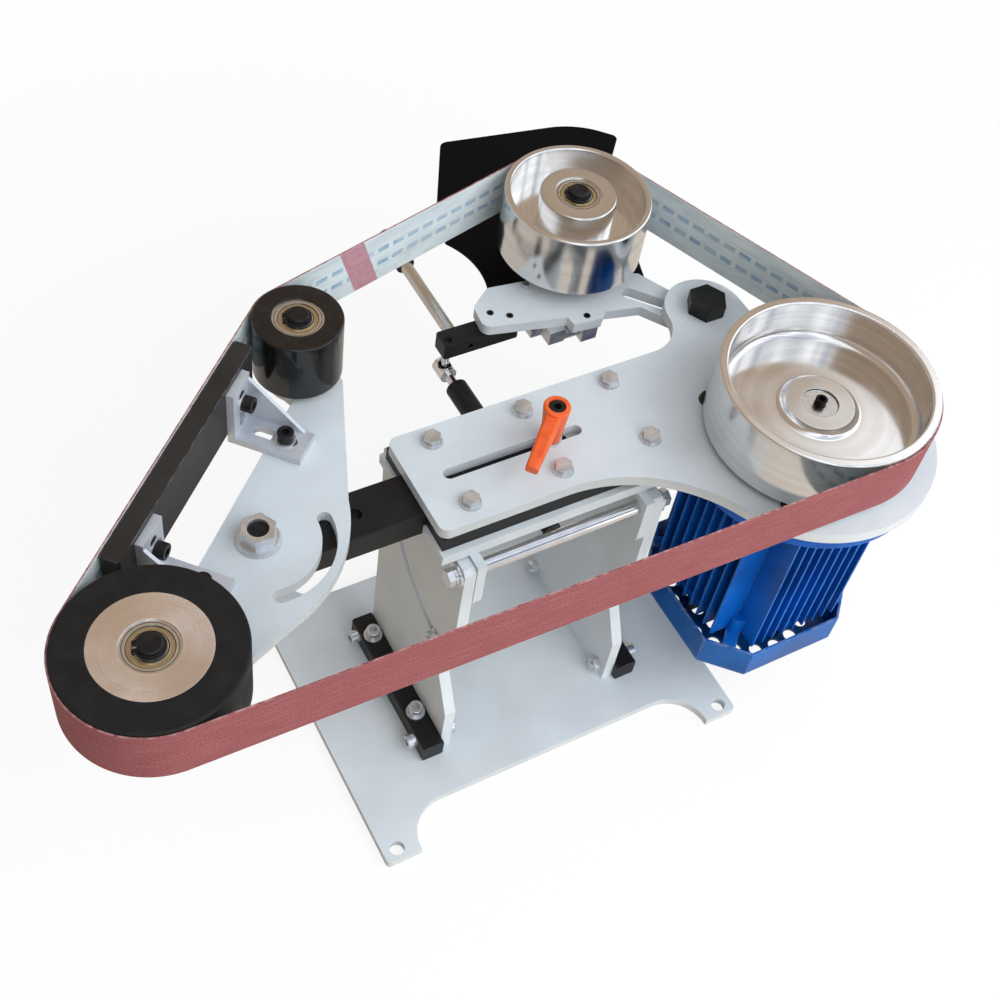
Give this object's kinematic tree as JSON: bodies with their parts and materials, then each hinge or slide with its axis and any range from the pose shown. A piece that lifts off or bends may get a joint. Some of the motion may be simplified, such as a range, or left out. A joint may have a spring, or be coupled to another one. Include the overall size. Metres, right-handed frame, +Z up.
{
  "type": "belt sanding machine",
  "caption": "Bench belt grinder with a tilting head: contact, idler, tracking and drive wheels in one abrasive belt, flat platen, sliding tool arm and blue flange motor on a steel stand.",
  "frame": {"origin": "Centre of the base plate's bolt pattern, on the base's underside", "axes": "+Z up, +X along the base from the contact wheel towards the motor, +Y to the back, away from the user"},
  "size_m": [0.7183, 0.5532, 0.37],
  "materials": {
    "grey_paint": "smooth light cool-grey paint",
    "black_paint": "satin black paint",
    "zinc_steel": "bright zinc plating",
    "chrome_steel": "hard chrome",
    "black_oxide_steel": "black oxide",
    "polished_aluminium": "turned and polished",
    "satin_aluminium": "brushed, bare",
    "black_rubber": "ground rubber",
    "gloss_black": "glossy black coating",
    "bearing_steel": "ground rings with a plated shield",
    "abrasive_cloth": "coated abrasive on a pale cloth backing",
    "orange_plastic": "moulded, fine texture",
    "blue_paint": "gloss blue paint over castings",
    "black_plastic": "moulded",
    "stainless_steel": "turned bar with a black end",
    "machine_steel": "laminations and ground shaft"
  },
  "bodies": {
    "stand": {"base_plate": "grey_paint", "uprights": "grey_paint", "foot_bars": "black_paint", "foot_screws": "zinc_steel", "stand_washers": "zinc_steel", "pivot_bolts": "zinc_steel", "pivot_rod": "chrome_steel"},
    "head": {"tilt_plate": "grey_paint", "tilt_brackets": "grey_paint", "tilt_lock_bolt": "zinc_steel", "channel_bars": "black_paint", "main_plate": "grey_paint", "frame_bolts": "zinc_steel", "motor_flange": "blue_paint", "motor_housing": "blue_paint", "motor_cowl": "blue_paint", "motor_stator": "machine_steel", "motor_bearings": "bearing_steel", "motor_bolts": "black_oxide_steel", "terminal_box": "blue_paint", "cable_gland": "black_plastic", "tracking_pivot_bolt": "black_oxide_steel", "spring_anchor_stud": "chrome_steel", "sanding_belt": "abrasive_cloth"},
    "drive": {"motor_shaft": "machine_steel", "motor_rotor": "machine_steel", "motor_fan": "black_plastic", "drive_wheel": "polished_aluminium", "drive_wheel_screw": "zinc_steel"},
    "tool_arm": {"tool_arm": "black_paint", "lever_stud": "zinc_steel", "arm_pivot_stud": "black_oxide_steel", "arm_flange_nut": "zinc_steel"},
    "ratchet_lever": {"lever_handle": "orange_plastic", "lever_screw": "black_oxide_steel"},
    "platen_arm": {"arm_plate": "grey_paint", "platen_bar": "black_paint", "platen_brackets": "satin_aluminium", "bracket_screws": "black_oxide_steel", "bracket_washers": "zinc_steel", "arm_axles": "black_oxide_steel"},
    "contact_wheel": {"contact_wheel_tyre": "black_rubber", "contact_wheel_hub": "satin_aluminium", "contact_bearings": "bearing_steel"},
    "idler_wheel": {"idler_wheel": "gloss_black", "idler_bearings": "bearing_steel"},
    "tracking_arm": {"tracking_arm": "grey_paint", "tracking_arm_screws": "zinc_steel", "carrier_hinge": "satin_aluminium", "tension_bar": "black_paint", "release_handle": "stainless_steel", "upper_ball_stud": "chrome_steel"},
    "tracking_carrier": {"axle_carrier": "satin_aluminium", "guard_plate": "black_paint", "tracking_axle": "black_oxide_steel"},
    "tracking_screw": {"tracking_screw": "zinc_steel"},
    "tracking_wheel": {"tracking_wheel": "polished_aluminium", "tracking_bearings": "bearing_steel"},
    "gas_spring_cylinder": {"gas_spring_cylinder": "black_paint"},
    "gas_spring_rod": {"gas_spring_rod": "chrome_steel"}
  },
  "joints": [
    {"name": "head_tilt", "type": "hinge", "parent": "stand", "child": "head", "pos_m": [0, -0.0575, 0.257], "axis": [1, 0, 0], "range_deg": [0, 75]},
    {"name": "drive_spin", "type": "hinge", "parent": "head", "child": "drive", "pos_m": [0.215, -0.0733, 0.337], "axis": [0, 0, 1], "continuous": true},
    {"name": "tool_arm_slide", "type": "slide", "parent": "head", "child": "tool_arm", "axis": [-1, 0, 0], "range_m": [-0.02, 0.085], "deforming": ["sanding_belt"]},
    {"name": "lever_turn", "type": "hinge", "parent": "tool_arm", "child": "ratchet_lever", "pos_m": [0.016, 0, 0.33], "axis": [0, 0, 1], "range_deg": [-60, 60]},
    {"name": "platen_arm_swing", "type": "hinge", "parent": "tool_arm", "child": "platen_arm", "pos_m": [-0.226, 0, 0.3], "axis": [0, 0, 1], "range_deg": [-8, 25], "deforming": ["sanding_belt"]},
    {"name": "contact_spin", "type": "hinge", "parent": "platen_arm", "child": "contact_wheel", "pos_m": [-0.3343, -0.0891, 0.337], "axis": [0, 0, 1], "continuous": true},
    {"name": "idler_spin", "type": "hinge", "parent": "platen_arm", "child": "idler_wheel", "pos_m": [-0.1357, 0.1378, 0.337], "axis": [0, 0, 1], "continuous": true},
    {"name": "tracking_arm_swing", "type": "hinge", "parent": "head", "child": "tracking_arm", "pos_m": [0.211, 0.074, 0.288], "axis": [0, 0, 1], "range_deg": [-12, 2.5], "stiffness_Nm_per_rad": 150, "deforming": ["sanding_belt"]},
    {"name": "tracking_tilt", "type": "hinge", "parent": "tracking_arm", "child": "tracking_carrier", "pos_m": [0.1065, 0.119, 0.275], "axis": [1, 0, 0], "range_deg": [-2, 2], "deforming": ["sanding_belt"]},
    {"name": "tracking_screw_travel", "type": "slide", "parent": "tracking_arm", "child": "tracking_screw", "axis": [0, 0, 1], "range_m": [-0.0025, 0.0025]},
    {"name": "tracking_spin", "type": "hinge", "parent": "tracking_carrier", "child": "tracking_wheel", "pos_m": [0.1369, 0.1817, 0.338], "axis": [0, 0, 1], "continuous": true},
    {"name": "gas_spring_swing", "type": "hinge", "parent": "head", "child": "gas_spring_cylinder", "pos_m": [0.002, -0.037, 0.247], "axis": [0, 0, 1], "range_deg": [-6, 2]},
    {"name": "gas_spring_stroke", "type": "slide", "parent": "gas_spring_cylinder", "child": "gas_spring_rod", "axis": [-0.0068, 1, 0], "range_m": [-0.012, 0.047]}
  ],
  "couplings": [
    {"joint": "contact_spin", "follows": "drive_spin", "ratio": 1.4},
    {"joint": "idler_spin", "follows": "drive_spin", "ratio": 2.5},
    {"joint": "tracking_spin", "follows": "drive_spin", "ratio": 1.4},
    {"joint": "tracking_screw_travel", "follows": "tracking_tilt", "m_per_rad": 0.044},
    {"joint": "gas_spring_swing", "follows": "tracking_arm_swing", "ratio": 0.402},
    {"joint": "gas_spring_stroke", "follows": "tracking_arm_swing", "m_per_rad": -0.206}
  ]
}
